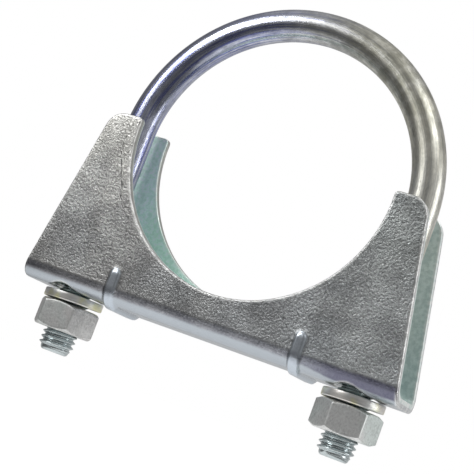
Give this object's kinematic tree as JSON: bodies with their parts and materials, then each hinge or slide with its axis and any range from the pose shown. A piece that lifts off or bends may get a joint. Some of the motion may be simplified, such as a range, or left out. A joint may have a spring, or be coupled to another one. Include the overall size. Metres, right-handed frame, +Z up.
{
  "type": "u-bolt pipe clamp",
  "caption": "U-bolt pipe clamp: a round rod bent to a U closes a pressed steel saddle on a pipe, held by spring washers and hexagon nuts.",
  "frame": {"origin": "centre of the clamped pipe, midway between the two flanges of the saddle", "axes": "+Y along the pipe, +X from the left leg to the right leg, +Z up from the legs' ends to the top of the ring"},
  "size_m": [0.0918, 0.0188, 0.0931],
  "materials": {
    "rod": "bright zinc plate, glossy, drawn lengthwise",
    "sheet": "zinc plate over rolled sheet, satin, finely mottled",
    "washer": "zinc plate over spring steel, satin",
    "nut": "zinc plate over forged steel, satin"
  },
  "bodies": {
    "rod": {"u_bolt": "rod"},
    "saddle": {"saddle": "sheet"},
    "washer_left": {"spring_washer_left": "washer"},
    "washer_right": {"spring_washer_right": "washer"},
    "nut_left": {"nut_left": "nut"},
    "nut_right": {"nut_right": "nut"}
  },
  "joints": [
    {"name": "saddle_slide", "type": "slide", "parent": "rod", "child": "saddle", "axis": [0, 0, 1], "range_m": [0, 0.038]},
    {"name": "washer_left_slide", "type": "slide", "parent": "rod", "child": "washer_left", "axis": [0, 0, -1], "range_m": [0, 0.0088]},
    {"name": "washer_right_slide", "type": "slide", "parent": "rod", "child": "washer_right", "axis": [0, 0, -1], "range_m": [0, 0.0088]},
    {"name": "nut_left_turn", "type": "hinge", "parent": "washer_left", "child": "nut_left", "pos_m": [-0.0352, 0, -0.0464], "axis": [0, 0, -1], "range_deg": [0, 2520]},
    {"name": "nut_right_turn", "type": "hinge", "parent": "washer_right", "child": "nut_right", "pos_m": [0.0352, 0, -0.0464], "axis": [0, 0, -1], "range_deg": [0, 2520]}
  ],
  "couplings": [
    {"joint": "washer_left_slide", "follows": "nut_left_turn", "m_per_rad": 0.00019894},
    {"joint": "washer_right_slide", "follows": "nut_right_turn", "m_per_rad": 0.00019894}
  ]
}
